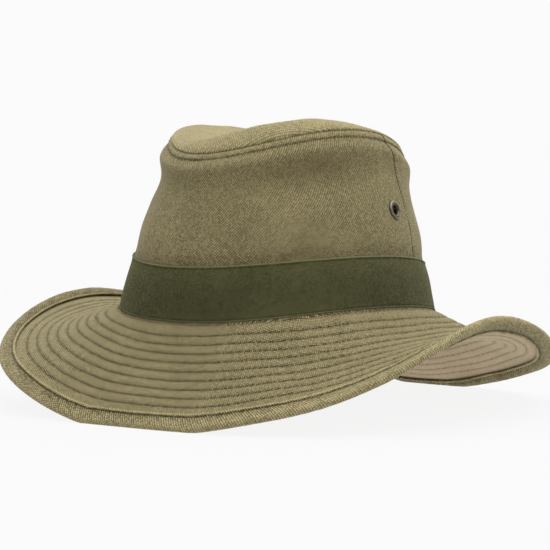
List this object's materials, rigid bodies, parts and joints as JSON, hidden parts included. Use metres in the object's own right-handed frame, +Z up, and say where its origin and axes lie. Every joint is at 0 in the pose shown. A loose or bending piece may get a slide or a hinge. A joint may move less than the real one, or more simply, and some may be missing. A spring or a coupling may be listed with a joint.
{
  "type": "bush hat",
  "caption": "Cotton canvas bush hat with a dented oval crown, a flat cloth band, side vent eyelets and a wide stitched brim whose sides roll up, resting on the brim's front and back.",
  "frame": {"origin": "centre of the hat's outline seen from above, on the ground that the brim rests on", "axes": "+Z up, -Y to the front of the hat, +X to the wearer's left"},
  "size_m": [0.3112, 0.3072, 0.1705],
  "materials": {
    "canvas": "matt olive khaki cotton canvas",
    "band_twill": "matt dark olive cotton twill",
    "under_canvas": "matt tan cotton canvas",
    "binding_tape": "matt khaki bias tape",
    "antique_brass": "dark antique brass, worn bright on the rims"
  },
  "bodies": {
    "root": {"crown_tip": "canvas", "crown_side_front": "canvas", "crown_side_back": "canvas", "hat_band": "band_twill", "brim_top": "canvas", "brim_underside": "under_canvas", "brim_binding": "binding_tape", "eyelet_left": "antique_brass", "eyelet_right": "antique_brass"}
  },
  "joints": []
}
